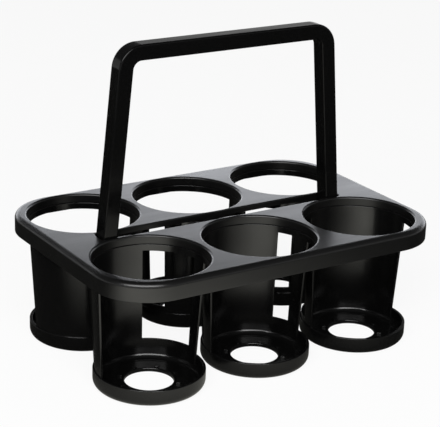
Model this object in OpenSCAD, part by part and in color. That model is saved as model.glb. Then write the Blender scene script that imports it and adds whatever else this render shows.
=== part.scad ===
// Six pack carrier: a moulded tray with six bottle holes, six half-open cups under it,
// and a stirrup handle whose legs drop through the long slot between the two rows.
// Millimetres, +Z up, long side along X, front at -Y. The origin lies on the ground
// under the middle of the tray.

/* [Bottle holes] */
// Bore of each bottle hole in the tray
hole_d = 78; // [72:1:84]
// Web between neighbouring holes of one row
web = 6; // [5.6:0.2:12]
// Strip between a hole and the side of the slot
strip = 1.4; // [1.2:0.1:3]

/* [Tray] */
// Height of the tray's top face above the ground
tray_top = 90; // [80:1:120]
// From an end hole to the end of the tray
end_margin = 6.5; // [6:0.5:14]
// From a hole to the long side of the tray
side_margin = 4.6; // [4.4:0.2:12]
// Radius of the tray's corners in plan
corner_r = 38; // [30:1:40]
// Thickness of the top plate
plate_t = 2; // [1.6:0.1:3]
// Depth of the skirt below the top face
skirt_h = 13; // [11:0.5:20]
// Thickness of the skirt
skirt_t = 1.8; // [1.4:0.1:2.2]
// Rounding along the skirt's top edge
edge_r = 3.6; // [2:0.2:4]
// Depth of the collar round each hole, below the top face
collar_h = 6.5; // [5:0.5:9]
// Thickness of the collar
collar_t = 1.6; // [1.5:0.05:1.8]

/* [Slot] */
// Width of the long slot between the rows
slot_w = 13.2; // [12.6:0.2:18]
// Rounding in the slot's corners
slot_r = 2.5; // [1.5:0.5:4]
// Depth of the flange round the slot, below the top face
flange_h = 4.4; // [3.6:0.2:5]
// Thickness of the slot's flange
flange_t = 1.2; // [1:0.1:1.3]

/* [Cups] */
// Thickness of a cup's wall
wall_t = 1.5; // [1.2:0.1:1.9]
// Step from a hole in to a cup's wall
cup_step = 0.4; // [0.2:0.1:0.6]
// Depth of the closed band round the top of a cup
band_h = 4.7; // [3.7:0.5:9.7]
// How far a wall draws in between band and foot ring
draw_in = 3.5; // [2:0.1:5]
// Angle that a wall runs on past each side of its cup
wrap_angle = 4; // [2:0.5:8]
// Angle that each end of a wall gives up again on its way down
end_slant = 3; // [0.5:0.5:6]
// Height of the foot ring
foot_h = 12; // [9:0.5:18]
// Step from a cup's wall out to its foot ring
foot_step = 1; // [0.6:0.1:1.4]
// Rounding under the foot ring
foot_r = 5; // [2:0.5:6]
// Thickness of a cup's floor
floor_t = 1.8; // [1.4:0.1:2.6]
// Bore of the drain hole in a cup's floor
drain_d = 33; // [24:1:40]
// Radius of the cove between a cup's floor and its foot ring
cove_r = 5; // [2:0.5:7]
// Width of the raised lip round the drain hole
lip_w = 1.6; // [1:0.2:3]
// Height of that lip above the floor
lip_h = 0.9; // [0.4:0.1:2]
// Number of lugs round the lip, on which the bottle stands clear of the floor
lugs = 8; // [4:1:12]
// Length of a lug, outwards from the lip
lug_l = 3; // [2:0.5:6]
// Width of a lug
lug_w = 3; // [2:0.5:5]
// Height of a lug above the floor
lug_h = 2.6; // [1.5:0.1:4]

/* [Windows in the cups] */
// Height of the wall that stays under a window
sill_h = 16; // [14:1:30]
// First and last angle of a corner cup's window, from the tray's long axis
wide_from = 12; // [8:1:25]
wide_to = 68; // [50:1:75]
// First and last angle of a middle cup's narrow windows
narrow_from = 16; // [10:1:22]
narrow_to = 36; // [30:1:50]

/* [Clip tabs on the cups] */
// Radial play between a tab and the collar
tab_play = 0.15; // [0.1:0.05:0.3]
// Thickness of a tab
tab_t = 1.3; // [1:0.1:1.8]
// Height of a tab above and below the joint
tab_h = 3.6; // [2.5:0.1:4]
// Angle that a tab spans
tab_angle = 18; // [10:1:24]

/* [Handle] */
// Rise of the handle's top above the tray's top face
rise = 129; // [100:1:160]
// Width over the legs at the tray's top face
leg_span = 192.8; // [182:0.2:194]
// Lean of the legs, inwards as they rise
lean = 5.3; // [3:0.1:8]
// Radius of the handle's outer corners
bend_r = 17; // [12:1:26]
// Width of the bar, across the carrier
bar_w = 11.6; // [8:0.2:12]
// Depth of the bar, from its outer face to its inner face
bar_d = 10.8; // [8:0.2:12]
// Radius of the bar's four long edges
bar_r = 1.2; // [0.4:0.2:2.4]
// Play between a leg and the end of the slot at the top face
leg_play = 1.2; // [1:0.1:3]
// Length of the hook that catches under the slot's end
hook_l = 2.8; // [2:0.2:5]
// Play between a hook and the flange it stops against
hook_play = 0.3; // [0.2:0.05:0.6]
// How far a foot stands out past each side of the bar
foot_proud = 0.4; // [0.2:0.1:0.8]

/* [Hidden] */
$fn = 96;
plastic = [0.09, 0.09, 0.09];
over = 1;

hole_r = hole_d / 2;
pitch = hole_d + web;
row_y = slot_w / 2 + strip + hole_r;
tray_l = 2 * pitch + hole_d + 2 * end_margin;
tray_w = 2 * (row_y + hole_r + side_margin);
slot_l = leg_span + 2 * leg_play;

// Levels above the ground
seat_z = tray_top - collar_h;
band_z = seat_z - band_h;
flange_z = tray_top - flange_h;
skirt_z = tray_top - skirt_h;

// Radii of a cup
cup_in_r = hole_r - cup_step;
cup_out_r = cup_in_r + wall_t;
low_in_r = cup_in_r - draw_in;
low_out_r = low_in_r + wall_t;
foot_out_r = low_out_r + foot_step;
foot_in_r = foot_out_r - wall_t - foot_step / 2;
drain_r = drain_d / 2;

// Radii of the clip tabs
tab_in_r = hole_r + collar_t + tab_play;
tab_out_r = tab_in_r + tab_t;

// Points of an arc about c from angle a to angle b
function arc(c, r, a, b, n) =
    [for (i = [0:n]) c + r * [cos(a + (b - a) * i / n), sin(a + (b - a) * i / n)]];

module at_holes() {
    for (i = [-1:1], s = [-1, 1])
        translate([i * pitch, s * row_y, 0]) children();
}

// Half the tray's rim in section, from a corner's centre out to the skirt
module rim_section() {
    polygon(concat(
        [[0, -plate_t], [corner_r - skirt_t, -plate_t],
         [corner_r - skirt_t, -skirt_h], [corner_r, -skirt_h]],
        arc([corner_r - edge_r, -edge_r], edge_r, 0, 90, 6),
        [[0, 0]]));
}

// Plate and skirt: the section swept round the four corners and along the four sides
module rim() {
    side_x = tray_l / 2 - corner_r;
    side_y = tray_w / 2 - corner_r;
    for (q = [[1, 1, 0], [-1, 1, 90], [-1, -1, 180], [1, -1, 270]])
        translate([q[0] * side_x, q[1] * side_y, 0])
            rotate(q[2]) rotate_extrude(angle = 90) rim_section();
    for (a = [0, 180]) {
        rotate(a) translate([side_x, side_y, 0]) rotate([90, 0, 0])
            linear_extrude(2 * side_y) rim_section();
        rotate(a) translate([-side_x, side_y, 0]) rotate([90, 0, 90])
            linear_extrude(2 * side_x) rim_section();
    }
    translate([-side_x, -side_y, -plate_t]) cube([2 * side_x, 2 * side_y, plate_t]);
}

// The slot's outline, let out by grow
module slot_outline(grow) {
    l = slot_l / 2 + grow;
    w = slot_w / 2 + grow;
    r = slot_r + grow;
    polygon(concat(
        arc([l - r, w - r], r, 0, 90, 6), arc([r - l, w - r], r, 90, 180, 6),
        arc([r - l, r - w], r, 180, 270, 6), arc([l - r, r - w], r, 270, 360, 6)));
}

module tray() {
    color(plastic) difference() {
        union() {
            translate([0, 0, tray_top]) rim();
            translate([0, 0, seat_z]) at_holes()
                cylinder(h = collar_h - plate_t / 2, r = hole_r + collar_t);
            translate([0, 0, flange_z])
                linear_extrude(flange_h - plate_t / 2) slot_outline(flange_t);
        }
        translate([0, 0, seat_z - over]) at_holes()
            cylinder(h = collar_h + 2 * over, r = hole_r);
        translate([0, 0, seat_z - over])
            linear_extrude(collar_h + 2 * over) slot_outline(0);
    }
}

// Wall and band of a cup in section
module wall_section() {
    polygon([
        [low_in_r, floor_t], [low_out_r, floor_t], [low_out_r, foot_h],
        [cup_out_r, band_z], [cup_out_r, seat_z],
        [cup_in_r, seat_z], [cup_in_r, band_z], [low_in_r, foot_h]]);
}

// Floor and foot ring of a cup in section
module foot_section() {
    polygon(concat(
        [[drain_r, 0]],
        arc([foot_out_r - foot_r, foot_r], foot_r, -90, 0, 6),
        [[foot_out_r, foot_h], [foot_in_r, foot_h]],
        arc([foot_in_r - cove_r, floor_t + cove_r], cove_r, 0, -90, 6),
        [[drain_r + lip_w, floor_t], [drain_r + lip_w, floor_t + lip_h],
         [drain_r, floor_t + lip_h]]));
}

// Cuts the outer half of the wall away between foot ring and band. The cut leans, so
// each end of the wall is narrower at its foot.
module front_cut() {
    high_y = -cup_out_r * sin(wrap_angle);
    low_y = -low_out_r * sin(wrap_angle - end_slant);
    slope = (low_y - high_y) / (band_z - foot_h);
    reach = cup_out_r + over;
    translate([-reach, 0, 0]) rotate([90, 0, 90]) linear_extrude(2 * reach)
        polygon([[-reach, floor_t - over], [low_y + slope * (foot_h - floor_t + over), floor_t - over],
                 [high_y, band_z], [-reach, band_z]]);
}

// A window from angle a to angle b, from the sill up to the band
module window(a, b) {
    rotate(a) rotate_extrude(angle = b - a)
        translate([low_in_r - over, sill_h])
            square([cup_out_r - low_in_r + 2 * over, band_z - sill_h]);
}

// A tab that reaches up outside the collar
module clip_tab() {
    rotate(-tab_angle / 2) rotate_extrude(angle = tab_angle)
        polygon([[cup_in_r + wall_t / 2, seat_z - tab_h], [tab_out_r, seat_z - tab_h],
                 [tab_out_r, seat_z + tab_h], [tab_in_r, seat_z + tab_h],
                 [tab_in_r, seat_z], [cup_in_r + wall_t / 2, seat_z]]);
}

// Lugs that grow out of the drain hole's lip
module floor_lugs() {
    for (i = [0:lugs - 1])
        rotate(i * 360 / lugs)
            translate([drain_r + lip_w / 2, -lug_w / 2, floor_t / 2])
                cube([lip_w / 2 + lug_l, lug_w, floor_t / 2 + lug_h]);
}

// A cup about its own axis. Its wall stands on the +Y side, towards the slot.
// wide is 1 or -1 for a corner cup, whose window faces +X or -X, and 0 for a middle cup.
module cup(wide) {
    difference() {
        rotate_extrude() wall_section();
        front_cut();
        if (wide == 1) window(wide_from, wide_to);
        if (wide == -1) window(180 - wide_to, 180 - wide_from);
        if (wide == 0) {
            window(narrow_from, narrow_to);
            window(180 - narrow_to, 180 - narrow_from);
        }
    }
    rotate_extrude() foot_section();
    floor_lugs();
    for (a = [45:90:315]) rotate(a) clip_tab();
}

// Puts a cup in its place: column -1, 0 or 1, front row -1 or rear row 1
module cup_at(column, row) {
    color(plastic) translate([column * pitch, row * row_y, 0])
        rotate(row > 0 ? 180 : 0) cup(row * column);
}

module cup_front_left() { cup_at(-1, -1); }
module cup_front_middle() { cup_at(0, -1); }
module cup_front_right() { cup_at(1, -1); }
module cup_rear_left() { cup_at(-1, 1); }
module cup_rear_middle() { cup_at(0, 1); }
module cup_rear_right() { cup_at(1, 1); }

// The bar in section, outer face at x = bend_r, all four corners rounded
module bar_section() {
    outer = bend_r - bar_r;
    inner = bend_r - bar_d + bar_r;
    side = bar_w / 2 - bar_r;
    polygon(concat(
        arc([outer, side], bar_r, 0, 90, 4),
        arc([inner, side], bar_r, 90, 180, 4),
        arc([inner, -side], bar_r, 180, 270, 4),
        arc([outer, -side], bar_r, 270, 360, 4)));
}

// Height of a foot's underside
foot_z = skirt_z;
// Place of the bends, so that the legs' outer faces meet leg_span at the top face
bend_z = tray_top + rise - bend_r;
bend_x = leg_span / 2 - (bend_z - tray_top) * tan(lean) - bend_r / cos(lean);
// Outer face of a leg at height z
function leg_x(z) = leg_span / 2 + (tray_top - z) * tan(lean);

// Right half of the handle: half the bar, a bend, and a leg with its hooked foot
module half_handle() {
    translate([bend_x, 0, bend_z]) rotate([90, 0, 0]) {
        rotate(90) rotate([-90, 0, 0]) linear_extrude(bend_x) bar_section();
        rotate(lean) rotate_extrude(angle = 90 - lean) bar_section();
        rotate(lean) rotate([90, 0, 0])
            linear_extrude((bend_z - foot_z) / cos(lean) - bar_d * sin(lean)) bar_section();
    }
    hook_z = flange_z - hook_play;
    foot_in = leg_x(hook_z) - bar_d;
    foot_out = slot_l / 2 + flange_t + hook_l;
    foot_w = bar_w + 2 * foot_proud;
    translate([foot_in, -foot_w / 2, foot_z])
        cube([foot_out - foot_in, foot_w, hook_z - foot_z]);
}

module handle() {
    color(plastic) {
        half_handle();
        mirror([1, 0, 0]) half_handle();
    }
}

tray();
cup_front_left();
cup_front_middle();
cup_front_right();
cup_rear_left();
cup_rear_middle();
cup_rear_right();
handle();
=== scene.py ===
import bmesh
import bpy
import math
from mathutils import Matrix, Vector
from mathutils.geometry import tessellate_polygon


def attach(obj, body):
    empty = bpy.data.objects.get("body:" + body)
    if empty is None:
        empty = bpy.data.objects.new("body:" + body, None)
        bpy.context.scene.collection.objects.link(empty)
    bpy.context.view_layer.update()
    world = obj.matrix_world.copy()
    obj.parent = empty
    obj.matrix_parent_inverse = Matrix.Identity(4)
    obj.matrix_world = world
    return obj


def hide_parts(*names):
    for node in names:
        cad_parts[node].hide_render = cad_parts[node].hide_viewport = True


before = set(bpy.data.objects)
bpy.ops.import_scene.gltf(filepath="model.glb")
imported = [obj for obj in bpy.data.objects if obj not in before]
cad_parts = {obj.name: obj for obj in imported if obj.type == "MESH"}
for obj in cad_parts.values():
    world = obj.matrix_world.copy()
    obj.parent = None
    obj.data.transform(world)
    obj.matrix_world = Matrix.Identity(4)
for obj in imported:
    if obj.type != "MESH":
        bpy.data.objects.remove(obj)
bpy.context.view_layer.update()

# Camera. It stands in front of the carrier's left end and looks down on it by about 20 degrees,
# a little rolled, as in the photograph, and it is zoomed in on one carrier.
PHOTO_W = 440
SENSOR = 36.0
FOCAL_PX = 969.7
ZOOM = 1.58
TURN = 0.5788
DOWN = 0.3454
ROLL = 0.0342
EYE = Vector((-0.5507, -0.8404, 0.4518))

ahead = Vector((math.sin(TURN) * math.cos(DOWN), math.cos(TURN) * math.cos(DOWN), -math.sin(DOWN)))
level_right = Vector((math.cos(TURN), -math.sin(TURN), 0))
level_up = level_right.cross(ahead)
right = math.cos(ROLL) * level_right + math.sin(ROLL) * level_up
up = math.cos(ROLL) * level_up - math.sin(ROLL) * level_right
camera_data = bpy.data.cameras.new("photo_camera")
camera_data.sensor_width = SENSOR
camera_data.lens = SENSOR * FOCAL_PX * ZOOM / PHOTO_W
camera = bpy.data.objects.new("photo_camera", camera_data)
bpy.context.scene.collection.objects.link(camera)
camera.matrix_world = Matrix.Translation(EYE) @ Matrix((right, up, -ahead)).transposed().to_4x4()
bpy.context.scene.camera = camera
bpy.context.scene.view_settings.view_transform = "Standard"

# Satin black polypropylene. It is injection moulded against a finely blasted tool, so it is black
# with a soft sheen, slightly cloudy where the melt flowed, and greyed a little by rubbing on edges.
POLYPROPYLENE = "#070707"
RUBBED = "#1b1b1a"
RUB_DEPTH = 0.0006
# Cosines between the bevelled normal and the true one where rubbing starts and where it is full.
RUB_COSINES = (0.97, 0.8)
SCUFFS_PER_METRE = 90.0
SCUFF_FADE = (0.45, 0.7)
# The clouds are CLOUD_SIZE wide across the flow and five times as long along it.
CLOUD_SIZE = 0.03
ACROSS_FLOW = 3.0
ALONG_FLOW = 0.6
SHEEN_BELOW = 0.03
SHEEN_ABOVE = 0.05
# The real blasted grain is about 0.1 mm, too fine to show here, so it is drawn coarser.
GRAIN_SIZE = 0.0006


def linear(hex_colour):
    """A hex sRGB colour as a linear RGBA value."""
    channels = [int(hex_colour[i:i + 2], 16) / 255 for i in (1, 3, 5)]
    return [c / 12.92 if c <= 0.04045 else ((c + 0.055) / 1.055) ** 2.4 for c in channels] + [1.0]


def add(tree, kind, settings=None, sockets=None, links=None):
    """A new node: its own settings, values for its input sockets, and links from other sockets."""
    made = tree.nodes.new(kind)
    for name, value in (settings or {}).items():
        setattr(made, name, value)
    for key, value in (sockets or {}).items():
        made.inputs[key].default_value = value
    for key, source in (links or {}).items():
        tree.links.new(source, made.inputs[key])
    return made


def moulded_polypropylene(name, flow_axis, roughness, shine):
    """Satin black polypropylene whose melt flowed along one axis."""
    material = bpy.data.materials.new(name)
    material.use_nodes = True
    tree = material.node_tree
    tree.nodes.clear()
    place = add(tree, "ShaderNodeTexCoord").outputs["Object"]
    stretch = [ALONG_FLOW if axis == flow_axis else ACROSS_FLOW for axis in "XYZ"]
    flow_place = add(tree, "ShaderNodeMapping", sockets={"Scale": stretch}, links={"Vector": place})
    clouds = add(tree, "ShaderNodeTexNoise", {"noise_dimensions": "3D"},
                 {"Scale": 1 / (ACROSS_FLOW * CLOUD_SIZE), "Detail": 3.0, "Roughness": 0.55},
                 {"Vector": flow_place.outputs["Vector"]})
    grain = add(tree, "ShaderNodeTexNoise", {"noise_dimensions": "3D"},
                {"Scale": 1 / (2 * GRAIN_SIZE), "Detail": 2.0}, {"Vector": place})
    scuffs = add(tree, "ShaderNodeTexNoise", {"noise_dimensions": "3D"},
                 {"Scale": SCUFFS_PER_METRE, "Detail": 4.0, "Roughness": 0.7}, {"Vector": place})
    bevel = add(tree, "ShaderNodeBevel", {"samples": 4}, {"Radius": RUB_DEPTH})
    normal = add(tree, "ShaderNodeNewGeometry").outputs["Normal"]
    edge = add(tree, "ShaderNodeVectorMath", {"operation": "DOT_PRODUCT"},
               links={0: bevel.outputs["Normal"], 1: normal})
    rubbed_edge = add(tree, "ShaderNodeMapRange",
                      sockets={"From Min": RUB_COSINES[0], "From Max": RUB_COSINES[1]},
                      links={"Value": edge.outputs["Value"]})
    worn = add(tree, "ShaderNodeMapRange",
               sockets={"From Min": SCUFF_FADE[0], "From Max": SCUFF_FADE[1]},
               links={"Value": scuffs.outputs["Fac"]})
    rub = add(tree, "ShaderNodeMath", {"operation": "MULTIPLY"},
              links={0: rubbed_edge.outputs["Result"], 1: worn.outputs["Result"]})
    colour = add(tree, "ShaderNodeMix", {"data_type": "RGBA"},
                 {6: linear(POLYPROPYLENE), 7: linear(RUBBED)}, {0: rub.outputs["Value"]})
    sheen = add(tree, "ShaderNodeMapRange",
                sockets={"From Min": 0.3, "From Max": 0.7, "To Min": roughness - SHEEN_BELOW,
                         "To Max": roughness + SHEEN_ABOVE},
                links={"Value": clouds.outputs["Fac"]})
    fine = add(tree, "ShaderNodeBump", sockets={"Strength": 0.08, "Distance": 0.0001},
               links={"Height": grain.outputs["Fac"]})
    waves = add(tree, "ShaderNodeBump", sockets={"Strength": 0.06, "Distance": 0.004},
                links={"Height": clouds.outputs["Fac"], "Normal": fine.outputs["Normal"]})
    shader = add(tree, "ShaderNodeBsdfPrincipled",
                 sockets={"IOR": 1.49, "Specular IOR Level": shine, "Metallic": 0.0},
                 links={"Base Color": colour.outputs[2], "Roughness": sheen.outputs["Result"],
                        "Normal": waves.outputs["Normal"]})
    add(tree, "ShaderNodeOutputMaterial", links={"Surface": shader.outputs["BSDF"]})
    return material


# Tray: one polypropylene moulding. A flat plate with a turned-down skirt, six holes that each have a
# collar under them, and a long slot with a shallow flange. The tool's radii round every edge.
# The pieces' sizes are in millimetres, and MM turns them to metres. All other lengths are in metres.
MM = 0.001
HOLE_R = 39.0
PITCH = 84.0
ROW_Y = 47.0
TRAY_TOP = 90.0
TRAY_HALF_X = 129.5
TRAY_HALF_Y = 90.6
CORNER_R = 38.0
PLATE_T = 2.0
SKIRT_H = 13.0
SKIRT_T = 1.8
EDGE_R = 3.6
COLLAR_H = 6.5
COLLAR_T = 1.6
SLOT_HALF_X = 97.6
SLOT_HALF_Y = 6.6
SLOT_R = 2.5
FLANGE_H = 4.4
FLANGE_T = 1.2
FLANGE_RIM_R = 1.0
RIM_R = 1.5
LOW_R = 0.5
TOP_STEPS = 10
LOW_STEPS = 4
CORNER_STEPS = 16
SLOT_STEPS = 6
CIRCLE_STEPS = 144
EVEN_WEIGHT = 80
tray_material = moulded_polypropylene("moulded_polypropylene_tray", "X", roughness=0.3, shine=0.38)


def arc(centre, radius, start, end, steps):
    """Points along an arc, angles in degrees."""
    turns = [math.radians(start + (end - start) * i / steps) for i in range(steps + 1)]
    return [(centre[0] + radius * math.cos(t), centre[1] + radius * math.sin(t)) for t in turns]


def rounded_box(half_x, half_y, radius, grow, steps):
    """A rectangle with round corners, let out by grow, anticlockwise."""
    r = radius + grow
    x, y = half_x - radius, half_y - radius
    corners = [(x, y, 0), (-x, y, 90), (-x, -y, 180), (x, -y, 270)]
    return [p for cx, cy, a in corners for p in arc((cx, cy), r, a, a + 90, steps)]


def circle(cx, cy, radius):
    """A full circle, anticlockwise, whose last point isn't its first again."""
    return arc((cx, cy), radius, 0, 360, CIRCLE_STEPS)[:-1]


def loop_at(mesh, outline, height):
    """A closed ring of vertices at one height, sizes in millimetres."""
    return [mesh.verts.new((x * MM, y * MM, height * MM)) for x, y in outline]


def skin(mesh, rings, closed=True):
    """Faces between each ring of vertices and the next."""
    for low, high in zip(rings, rings[1:]):
        count = len(low)
        for i in range(count if closed else count - 1):
            j = (i + 1) % count
            mesh.faces.new((low[i], low[j], high[j], high[i]))


def sheet_between(mesh, outer, holes):
    """A flat face inside one ring and outside others, cut into triangles."""
    rings = [outer] + holes
    corners = [v for ring in rings for v in ring]
    for triangle in tessellate_polygon([[v.co for v in ring] for ring in rings]):
        mesh.faces.new([corners[i] for i in triangle])


def finish_mesh(mesh, name, material, weighted=True):
    """Turns the mesh into a smooth-shaded object whose faces point outwards."""
    bmesh.ops.recalc_face_normals(mesh, faces=mesh.faces)
    data = bpy.data.meshes.new(name)
    mesh.to_mesh(data)
    mesh.free()
    data.shade_smooth()
    data.materials.append(material)
    made = bpy.data.objects.new(name, data)
    bpy.context.scene.collection.objects.link(made)
    if weighted:
        even = made.modifiers.new("even_shading", "WEIGHTED_NORMAL")
        even.weight = EVEN_WEIGHT
    return made


def tray_section(depth, wall, top_r):
    """Offsets and heights from the top face over an edge, down a wall and back up behind it."""
    top = arc((top_r, -top_r), top_r, 90, 180, TOP_STEPS)
    low_near = arc((LOW_R, LOW_R - depth), LOW_R, 180, 270, LOW_STEPS)
    low_far = arc((wall - LOW_R, LOW_R - depth), LOW_R, 270, 360, LOW_STEPS)
    return top + low_near + low_far + [(wall, -PLATE_T)]


mesh = bmesh.new()
hole_centres = [(i * PITCH, s * ROW_Y) for s in (-1, 1) for i in (-1, 0, 1)]
skirt = tray_section(SKIRT_H, SKIRT_T, EDGE_R)
skirt_rings = [loop_at(mesh, rounded_box(TRAY_HALF_X, TRAY_HALF_Y, CORNER_R, -inset, CORNER_STEPS),
                       TRAY_TOP + z)
               for inset, z in skirt]
collar = tray_section(COLLAR_H, COLLAR_T, RIM_R)
collar_rings = [[loop_at(mesh, circle(x, y, HOLE_R + out), TRAY_TOP + z) for out, z in collar]
                for x, y in hole_centres]
flange = tray_section(FLANGE_H, FLANGE_T, FLANGE_RIM_R)
flange_rings = [loop_at(mesh, rounded_box(SLOT_HALF_X, SLOT_HALF_Y, SLOT_R, out, SLOT_STEPS),
                        TRAY_TOP + z)
                for out, z in flange]
for rings in [skirt_rings, flange_rings] + collar_rings:
    skin(mesh, rings)
sheet_between(mesh, skirt_rings[0], [flange_rings[0]] + [rings[0] for rings in collar_rings])
sheet_between(mesh, skirt_rings[-1], [flange_rings[-1]] + [rings[-1] for rings in collar_rings])
tray = finish_mesh(mesh, "moulded_tray", tray_material)
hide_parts("tray")
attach(tray, "basket")

# Cup walls: each cup is a thin polypropylene moulding that tapers towards its foot. Its outer side is
# open between the top band and the foot ring, and its slot side has one wide or two narrow windows.
WALL_T = 1.5
CUP_IN_R = 38.6
LOW_IN_R = 35.1
SEAT_Z = 83.5
BAND_Z = 78.8
FOOT_H = 12.0
WALL_FOOT_Z = 3.0
SILL_H = 16.0
WRAP = 4.0
END_SLANT = 3.0
WIDE = (12.0, 68.0)
NARROW = (16.0, 36.0)
COLUMN_STEP = 2.5
WALL_ROWS = 8
EDGE_ROUND = 0.35
EDGE_LIMIT = 50
cup_material = moulded_polypropylene("moulded_polypropylene_cup", "Z", roughness=0.17, shine=0.36)


def cup_angles(windows):
    """Angles of the wall's columns, with one at each window's side and each end of the wall."""
    stops = sorted([-WRAP, 90.0, 180.0 + WRAP] + [a for w in windows for a in w])
    angles = []
    for a, b in zip(stops, stops[1:] + [360.0 - WRAP]):
        count = max(2, round((b - a) / COLUMN_STEP))
        angles += [a + (b - a) * i / count for i in range(count)]
    return angles


def wall_radius(z):
    """The wall's inner radius, which tapers between the band and the foot ring."""
    share = min(max((z - FOOT_H) / (BAND_Z - FOOT_H), 0), 1)
    return LOW_IN_R + (CUP_IN_R - LOW_IN_R) * share


def cup_wall(mesh, centre, turn, windows):
    """The wall and band of one cup as a sheet on its inner face."""
    angles = cup_angles(windows)
    nearest = min(a for w in windows for a in w)
    levels = [WALL_FOOT_Z, FOOT_H]
    levels += [SILL_H + (BAND_Z - SILL_H) * i / WALL_ROWS for i in range(WALL_ROWS + 1)]
    levels.append(SEAT_Z)
    rows = []
    for z in levels:
        lean = END_SLANT * (BAND_Z - max(z, FOOT_H)) / (BAND_Z - FOOT_H) if z < BAND_Z else 0
        row = []
        for a in angles:
            shift = 0
            if a < nearest:
                shift = lean * (nearest - a) / (nearest + WRAP)
            elif 180 - nearest < a <= 180 + WRAP:
                shift = -lean * (a - 180 + nearest) / (nearest + WRAP)
            t = math.radians(a + shift + turn)
            r = wall_radius(z)
            row.append(mesh.verts.new(((centre[0] + r * math.cos(t)) * MM,
                                       (centre[1] + r * math.sin(t)) * MM, z * MM)))
        rows.append(row)
    count = len(angles)
    ends = angles[1:] + [angles[0] + 360]
    for low, low_row, high_row in zip(levels, rows, rows[1:]):
        for i in range(count):
            j = (i + 1) % count
            middle = (angles[i] + ends[i]) / 2
            if low < BAND_Z and not -WRAP < middle < 180 + WRAP:
                continue
            if SILL_H <= low < BAND_Z and any(a < middle < b for a, b in windows):
                continue
            mesh.faces.new((low_row[i], low_row[j], high_row[j], high_row[i]))
    loose = [v for v in mesh.verts if not v.link_faces]
    bmesh.ops.delete(mesh, geom=loose, context="VERTS")


def build_cup_wall(name, centre, turn, windows):
    """An object with one cup's sheet, thickened outwards and rounded along its edges."""
    mesh = bmesh.new()
    cup_wall(mesh, centre, turn, windows)
    data = bpy.data.meshes.new(name)
    mesh.to_mesh(data)
    mesh.free()
    made = bpy.data.objects.new(name, data)
    bpy.context.scene.collection.objects.link(made)
    wall = made.modifiers.new("wall", "SOLIDIFY")
    wall.thickness = WALL_T * MM
    wall.offset = 1.0
    edges = made.modifiers.new("edges", "BEVEL")
    edges.width = EDGE_ROUND * MM
    edges.segments = 3
    edges.limit_method = "ANGLE"
    edges.angle_limit = math.radians(EDGE_LIMIT)
    return made


def plain_mesh(source):
    """The object's mesh with its modifiers worked in."""
    graph = bpy.context.evaluated_depsgraph_get()
    return bpy.data.meshes.new_from_object(source.evaluated_get(graph))


# Cup feet: the floor, its drain hole with a raised lip, the cove and the foot ring are one turned
# shape, moulded with the wall. Low lugs round the hole keep the bottle off the floor, and four tabs
# clip outside the collar.
FLOOR_T = 1.8
DRAIN_R = 16.5
LIP_W = 1.6
LIP_H = 0.9
COVE_R = 5.0
FOOT_OUT_R = 37.6
FOOT_IN_R = 35.6
FOOT_ROUND = 5.0
FOOT_EDGE_R = 0.4
LIP_TOE = 0.5
LIP_FLAT = 0.02
LUGS = 8
# The lugs are drawn 1.2 mm lower and about 1 mm further out than the solids' lugs, because the
# photograph shows a clean rim on the near side of each hole.
LUG_R = 20.2
LUG_T = 3.4
LUG_W = 3.0
LUG_TOP = 3.2
TAB_H = 3.6
TAB_IN_R = 40.75
TAB_T = 1.3
TABS = 4
TAB_AT = 45
TAB_ANGLE = 18.0
TAB_STEPS = 8


def foot_profile():
    """Half the foot in section, anticlockwise, as radius and height."""
    lip_top = FLOOR_T + LIP_H
    r = FOOT_EDGE_R
    lip_r = LIP_W / 2 - LIP_FLAT
    return (arc((DRAIN_R + r, r), r, 180, 270, steps=3)
            + arc((FOOT_OUT_R - FOOT_ROUND, FOOT_ROUND), FOOT_ROUND, -90, 0, steps=10)
            + arc((FOOT_OUT_R - r, FOOT_H - r), r, 0, 90, steps=4)
            + arc((FOOT_IN_R + r, FOOT_H - r), r, 90, 180, steps=4)
            + arc((FOOT_IN_R - COVE_R, FLOOR_T + COVE_R), COVE_R, 0, -90, steps=12)
            + [(DRAIN_R + LIP_W + LIP_TOE, FLOOR_T)]
            + arc((DRAIN_R + LIP_W - lip_r, lip_top - lip_r), lip_r, 0, 90, steps=6)
            + arc((DRAIN_R + lip_r, lip_top - lip_r), lip_r, 90, 180, steps=6))


foot_tree = bpy.data.node_groups.new("cup_foot", "GeometryNodeTree")
foot_tree.interface.new_socket("Geometry", in_out="INPUT", socket_type="NodeSocketGeometry")
foot_tree.interface.new_socket("Geometry", in_out="OUTPUT", socket_type="NodeSocketGeometry")
foot_inputs = {"Profile Radius": "Float", "Lugs": "Int", "Lug Width": "Float", "Lug Thickness": "Float",
               "Lug Height": "Float", "Lug Radius": "Float", "Lug Level": "Float", "Plastic": "Material"}
for label, kind in foot_inputs.items():
    foot_tree.interface.new_socket(label, in_out="INPUT", socket_type="NodeSocket" + kind)
given = add(foot_tree, "NodeGroupInput").outputs
path = add(foot_tree, "GeometryNodeCurvePrimitiveCircle", sockets={"Resolution": CIRCLE_STEPS},
           links={"Radius": given["Profile Radius"]})
upright = add(foot_tree, "GeometryNodeSetCurveNormal", {"mode": "Z_UP"},
              links={"Curve": path.outputs["Curve"]})
profile = add(foot_tree, "GeometryNodeMeshToCurve", links={"Mesh": given["Geometry"]})
turned = add(foot_tree, "GeometryNodeCurveToMesh",
             links={"Curve": upright.outputs["Curve"], "Profile Curve": profile.outputs["Curve"]})
lug_size = add(foot_tree, "ShaderNodeCombineXYZ",
               links={0: given["Lug Thickness"], 1: given["Lug Width"], 2: given["Lug Height"]})
block = add(foot_tree, "GeometryNodeMeshCube", sockets={"Vertices X": 2, "Vertices Y": 2, "Vertices Z": 2},
            links={"Size": lug_size.outputs["Vector"]})
lug = add(foot_tree, "GeometryNodeSubdivisionSurface", sockets={"Level": 3, "Edge Crease": 0.7},
          links={"Mesh": block.outputs["Mesh"]})
ring = add(foot_tree, "GeometryNodeMeshCircle",
           links={"Vertices": given["Lugs"], "Radius": given["Lug Radius"]})
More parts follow.
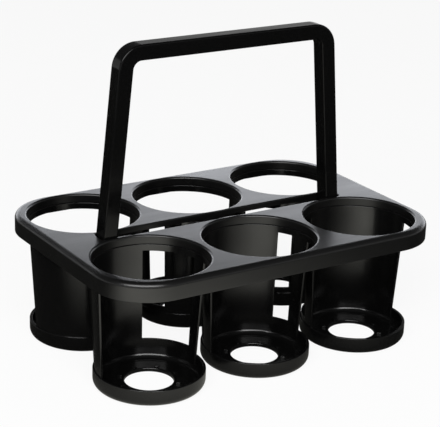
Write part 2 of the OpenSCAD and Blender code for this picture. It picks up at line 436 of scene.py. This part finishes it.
index = add(foot_tree, "GeometryNodeInputIndex")
step = add(foot_tree, "ShaderNodeMath", {"operation": "DIVIDE"}, {0: 2 * math.pi}, {1: given["Lugs"]})
angle = add(foot_tree, "ShaderNodeMath", {"operation": "MULTIPLY"},
            links={0: index.outputs["Index"], 1: step.outputs["Value"]})
facing = add(foot_tree, "ShaderNodeCombineXYZ", links={2: angle.outputs["Value"]})
lugs = add(foot_tree, "GeometryNodeInstanceOnPoints",
           links={"Points": ring.outputs["Mesh"], "Instance": lug.outputs["Mesh"],
                  "Rotation": facing.outputs["Vector"]})
lift = add(foot_tree, "ShaderNodeCombineXYZ", links={2: given["Lug Level"]})
raised = add(foot_tree, "GeometryNodeTransform",
             links={"Geometry": lugs.outputs["Instances"], "Translation": lift.outputs["Vector"]})
both = add(foot_tree, "GeometryNodeJoinGeometry", links={"Geometry": turned.outputs["Mesh"]})
foot_tree.links.new(raised.outputs["Geometry"], both.inputs["Geometry"])
real = add(foot_tree, "GeometryNodeRealizeInstances", links={"Geometry": both.outputs["Geometry"]})
painted = add(foot_tree, "GeometryNodeSetMaterial", links={"Geometry": real.outputs["Geometry"],
                                                          "Material": given["Plastic"]})
add(foot_tree, "NodeGroupOutput", links={"Geometry": painted.outputs["Geometry"]})


def run_tree(holder, tree, values):
    """Gives the holder a Geometry Nodes modifier with these named inputs and returns its mesh."""
    modifier = holder.modifiers.new("nodes", "NODES")
    modifier.node_group = tree
    for item in tree.interface.items_tree:
        if item.in_out == "INPUT" and item.name in values:
            modifier[item.identifier] = values[item.name]
    return plain_mesh(holder)


profile_points = foot_profile()
profile_mesh = bpy.data.meshes.new("foot_profile")
profile_mesh.from_pydata([((r - FOOT_OUT_R) * MM, -z * MM, 0) for r, z in profile_points],
                         [(i, (i + 1) % len(profile_points)) for i in range(len(profile_points))], [])
foot_holder = bpy.data.objects.new("foot_profile", profile_mesh)
bpy.context.scene.collection.objects.link(foot_holder)
lug_low = FLOOR_T / 2
foot_mesh = run_tree(foot_holder, foot_tree, {
    "Profile Radius": FOOT_OUT_R * MM, "Lugs": LUGS, "Lug Width": LUG_W * MM, "Lug Thickness": LUG_T * MM,
    "Lug Height": (LUG_TOP - lug_low) * MM, "Lug Radius": LUG_R * MM,
    "Lug Level": (LUG_TOP + lug_low) / 2 * MM,
    "Plastic": cup_material})
bpy.data.objects.remove(foot_holder)


def tab_mesh(mesh, centre, turn):
    """One clip tab: a short curved lug that bridges the joint between cup and collar."""
    section = [(CUP_IN_R + WALL_T / 2, SEAT_Z - TAB_H), (TAB_IN_R + TAB_T, SEAT_Z - TAB_H),
               (TAB_IN_R + TAB_T, SEAT_Z + TAB_H), (TAB_IN_R, SEAT_Z + TAB_H),
               (TAB_IN_R, SEAT_Z), (CUP_IN_R + WALL_T / 2, SEAT_Z)]
    rings = []
    for i in range(TAB_STEPS + 1):
        t = math.radians(turn + TAB_ANGLE * (i / TAB_STEPS - 0.5))
        rings.append([mesh.verts.new(((centre[0] + r * math.cos(t)) * MM,
                                      (centre[1] + r * math.sin(t)) * MM, z * MM)) for r, z in section])
    skin(mesh, rings)
    mesh.faces.new(rings[0])
    mesh.faces.new(rings[-1][::-1])


cups = {"front_left": (-1, -1), "front_middle": (0, -1), "front_right": (1, -1),
        "rear_left": (-1, 1), "rear_middle": (0, 1), "rear_right": (1, 1)}
for place, (column, row) in cups.items():
    centre = (column * PITCH, row * ROW_Y)
    turn = 180 if row > 0 else 0
    side = column * row
    if side == 0:
        windows = [NARROW, (180 - NARROW[1], 180 - NARROW[0])]
    else:
        windows = [WIDE] if side > 0 else [(180 - WIDE[1], 180 - WIDE[0])]
    wall_holder = build_cup_wall("wall_" + place, centre, turn, windows)
    mesh = bmesh.new()
    mesh.from_mesh(plain_mesh(wall_holder))
    bpy.data.objects.remove(wall_holder)
    foot = bmesh.new()
    foot.from_mesh(foot_mesh)
    foot.transform(Matrix.Translation((centre[0] * MM, centre[1] * MM, 0)))
    bmesh.ops.recalc_face_normals(foot, faces=foot.faces)
    placed = bpy.data.meshes.new("placed_foot")
    foot.to_mesh(placed)
    foot.free()
    mesh.from_mesh(placed)
    for i in range(TABS):
        tab_mesh(mesh, centre, TAB_AT + 360 / TABS * i)
    cup = finish_mesh(mesh, "moulded_cup_" + place, cup_material)
    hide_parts("cup_" + place)
    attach(cup, "basket")

# Handle: one polypropylene stirrup, moulded as a nearly square bar with softened edges. Its legs lean
# in as they rise, and each ends in a hooked foot that stops under the slot's flange.
RISE = 129.0
LEG_SPAN = 192.8
LEAN = math.radians(5.3)
BEND_R = 17.0
BAR_W = 11.6
BAR_D = 10.8
BAR_R = 1.2
HOOK_L = 2.8
HOOK_PLAY = 0.3
FOOT_PROUD = 0.4
HOOK_ROUND = 0.8
HANDLE_FOOT_Z = TRAY_TOP - SKIRT_H
BAR_STEPS = 6
BEND_STEPS = 16
LEG_STEPS = 12
handle_material = moulded_polypropylene("moulded_polypropylene_handle", "X", roughness=0.14, shine=0.12)


def bar_section():
    """The bar in section: depth in from the outer face, and width across it."""
    half, deep = BAR_W / 2 - BAR_R, BAR_D - BAR_R
    corners = [(BAR_R, half, 180), (deep, half, 90), (deep, -half, 0), (BAR_R, -half, -90)]
    return [p for x, y, a in corners for p in arc((x, y), BAR_R, a, a - 90, BAR_STEPS)]


bend_z = TRAY_TOP + RISE - BEND_R
bend_x = LEG_SPAN / 2 - (bend_z - TRAY_TOP) * math.tan(LEAN) - BEND_R / math.cos(LEAN)


def handle_stations():
    """Point on the outer face and inward direction at each station along the right half."""
    stations = [((0.0, TRAY_TOP + RISE), (0.0, -1.0))]
    for i in range(BEND_STEPS + 1):
        t = math.pi / 2 + (LEAN - math.pi / 2) * i / BEND_STEPS
        out = (math.cos(t), math.sin(t))
        stations.append(((bend_x + BEND_R * out[0], bend_z + BEND_R * out[1]), (-out[0], -out[1])))
    out = (math.cos(LEAN), math.sin(LEAN))
    drop = (bend_z - HANDLE_FOOT_Z) / math.cos(LEAN) - BAR_D * math.sin(LEAN)
    start = stations[-1][0]
    for i in range(1, LEG_STEPS + 1):
        down = drop * i / LEG_STEPS
        stations.append(((start[0] + down * math.sin(LEAN), start[1] - down * math.cos(LEAN)),
                         (-out[0], -out[1])))
    return stations


mesh = bmesh.new()
right_half = handle_stations()
left_half = [((-x, z), (-dx, dz)) for (x, z), (dx, dz) in right_half[:0:-1]]
section = bar_section()
rings = [[mesh.verts.new(((x + dx * depth) * MM, across * MM, (z + dz * depth) * MM))
          for depth, across in section]
         for (x, z), (dx, dz) in left_half + right_half]
skin(mesh, rings)
mesh.faces.new(rings[0])
mesh.faces.new(rings[-1][::-1])
hook_z = TRAY_TOP - FLANGE_H - HOOK_PLAY
foot_in = LEG_SPAN / 2 + (TRAY_TOP - hook_z) * math.tan(LEAN) - BAR_D
foot_out = SLOT_HALF_X + FLANGE_T + HOOK_L
foot_w = BAR_W + 2 * FOOT_PROUD
for side in (-1, 1):
    size = Vector((foot_out - foot_in, foot_w, hook_z - HANDLE_FOOT_Z)) * MM
    middle = Vector((side * (foot_in + foot_out) / 2, 0, (hook_z + HANDLE_FOOT_Z) / 2)) * MM
    where = Matrix.Translation(middle) @ Matrix.Diagonal(size.to_4d())
    block = bmesh.ops.create_cube(mesh, size=1.0, matrix=where)
    edges = {e for v in block["verts"] for e in v.link_edges}
    bmesh.ops.bevel(mesh, geom=list(edges), offset=HOOK_ROUND * MM, segments=3, affect="EDGES", profile=0.5)
handle = finish_mesh(mesh, "moulded_handle", handle_material)
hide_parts("handle")
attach(handle, "handle")

# Floor: plain white studio paper that lies flat under the carrier and runs on behind it. It shows
# white to the camera and in the plastic, and it takes a little of the carrier's soft shadow.
FLOOR_SIZE = 14.0
PAPER = "#ededed"
WHITE_SHARE = 0.9
floor_mesh = bmesh.new()
bmesh.ops.create_grid(floor_mesh, x_segments=4, y_segments=4, size=FLOOR_SIZE / 2)
paper = bpy.data.materials.new("matt_studio_paper")
paper.use_nodes = True
tree = paper.node_tree
tree.nodes.clear()
matt = add(tree, "ShaderNodeBsdfDiffuse", sockets={"Color": linear(PAPER)})
white = add(tree, "ShaderNodeEmission", sockets={"Strength": 1.0})
rays = add(tree, "ShaderNodeLightPath").outputs
seen_or_mirrored = add(tree, "ShaderNodeMath", {"operation": "MAXIMUM"},
                       links={0: rays["Is Camera Ray"], 1: rays["Is Glossy Ray"]})
seen_at_all = add(tree, "ShaderNodeMath", {"operation": "MAXIMUM"},
                  links={0: seen_or_mirrored.outputs["Value"], 1: rays["Is Transmission Ray"]})
share = add(tree, "ShaderNodeMath", {"operation": "MULTIPLY"}, {1: WHITE_SHARE},
            {0: seen_at_all.outputs["Value"]})
shown = add(tree, "ShaderNodeMixShader", links={0: share.outputs["Value"], 1: matt.outputs["BSDF"],
                                                2: white.outputs["Emission"]})
add(tree, "ShaderNodeOutputMaterial", links={"Surface": shown.outputs["Shader"]})
floor = finish_mesh(floor_mesh, "studio_floor", paper, weighted=False)

# Studio light: a room pale at the horizon and dim above, one broad soft box high at the front left,
# and a low card behind the carrier, which lights only the tray and gives its top a pale sheen.
ROOM = 0.14
HORIZON = (0.2, 0.28)
BOX_PLACE = (-1.1, -1.6, 1.5)
BOX_AIM = (0, -0.1, 0.05)
BOX_SIZE = (2.6, 1.0)
BOX_RADIANCE = 10.5
CARD_PLACE = (0.27, 0.41, 0.20)
CARD_AIM = (0, 0, 0.20)
CARD_SIZE = (1.3, 0.18)
CARD_RADIANCE = 2.7
CARD_TINT = "#f5f8ff"
world = bpy.data.worlds.new("studio")
bpy.context.scene.world = world
world.use_nodes = True
tree = world.node_tree
tree.nodes.clear()
way = add(tree, "ShaderNodeSeparateXYZ", links={0: add(tree, "ShaderNodeTexCoord").outputs["Generated"]})
horizon = add(tree, "ShaderNodeMapRange", {"interpolation_type": "SMOOTHSTEP"},
              {"From Min": HORIZON[0], "From Max": HORIZON[1], "To Min": 1.0, "To Max": ROOM},
              {"Value": way.outputs["Z"]})
light = add(tree, "ShaderNodeBackground", links={"Strength": horizon.outputs["Result"]})
add(tree, "ShaderNodeOutputWorld", links={"Surface": light.outputs["Background"]})


def soft_box(name, place, target, size, radiance):
    """A rectangular lamp at a place, turned to a target, which the camera doesn't see."""
    lamp = bpy.data.lights.new(name, "AREA")
    lamp.shape = "RECTANGLE"
    lamp.size, lamp.size_y = size
    lamp.energy = radiance * math.pi * size[0] * size[1]
    made = bpy.data.objects.new(name, lamp)
    made.visible_camera = False
    bpy.context.scene.collection.objects.link(made)
    made.location = place
    made.rotation_euler = (Vector(target) - Vector(place)).to_track_quat("-Z", "Y").to_euler()
    return made


soft_box("box_front_left", BOX_PLACE, BOX_AIM, BOX_SIZE, BOX_RADIANCE)
card_behind = soft_box("card_behind", CARD_PLACE, CARD_AIM, CARD_SIZE, CARD_RADIANCE)
card_behind.data.color = linear(CARD_TINT)[:3]
card_behind.visible_diffuse = False
flat_tops = bpy.data.collections.new("flat_tops")
flat_tops.objects.link(tray)
card_behind.light_linking.receiver_collection = flat_tops

# Cards on the table: seen only in the plastic's sheen, as a painted reflection and painted shade. They
# are painted shade, dark under and behind the carrier, and a painted reflection of light at its front
# left. They give its upright faces their bright corner and their deep blacks.
CARDS_SIZE = 3.0
CARDS_HEIGHT = 0.0006
CARDS_LIT_AT = (-0.25, -0.24)
CARDS_REACH = (0.48, 0.25)
CARDS_CORE = 0.15
# The brightness of the painted reflection at its lit spot, and of the painted shade everywhere else.
CARDS_LIT = 2.6
CARDS_PAINTED_SHADE = 0.04
CARDS_PAPER = "#fffef4"
cards_mesh = bmesh.new()
bmesh.ops.create_grid(cards_mesh, x_segments=1, y_segments=1, size=CARDS_SIZE / 2)
bmesh.ops.translate(cards_mesh, vec=(0, 0, CARDS_HEIGHT), verts=cards_mesh.verts)
card_paint = bpy.data.materials.new("painted_reflection_and_shade_card")
card_paint.use_nodes = True
tree = card_paint.node_tree
tree.nodes.clear()
spot = add(tree, "ShaderNodeVectorMath", {"operation": "SUBTRACT"}, {1: (*CARDS_LIT_AT, 0)},
           {0: add(tree, "ShaderNodeTexCoord").outputs["Object"]})
spread = add(tree, "ShaderNodeVectorMath", {"operation": "DIVIDE"}, {1: (*CARDS_REACH, 1)},
             {0: spot.outputs["Vector"]})
away = add(tree, "ShaderNodeVectorMath", {"operation": "LENGTH"}, links={0: spread.outputs["Vector"]})
painted_glow = add(tree, "ShaderNodeMapRange", {"interpolation_type": "SMOOTHSTEP"},
           {"From Min": CARDS_CORE, "From Max": 1.0, "To Min": CARDS_LIT, "To Max": CARDS_PAINTED_SHADE},
           {"Value": away.outputs["Value"]})
lit = add(tree, "ShaderNodeEmission", sockets={"Color": linear(CARDS_PAPER)},
          links={"Strength": painted_glow.outputs["Result"]})
add(tree, "ShaderNodeOutputMaterial", links={"Surface": lit.outputs["Emission"]})
cards = finish_mesh(cards_mesh, "painted_reflection_cards", card_paint, weighted=False)
cards.visible_camera = False
cards.visible_diffuse = False
cards.visible_transmission = False
cards.visible_shadow = False

bpy.context.view_layer.update()
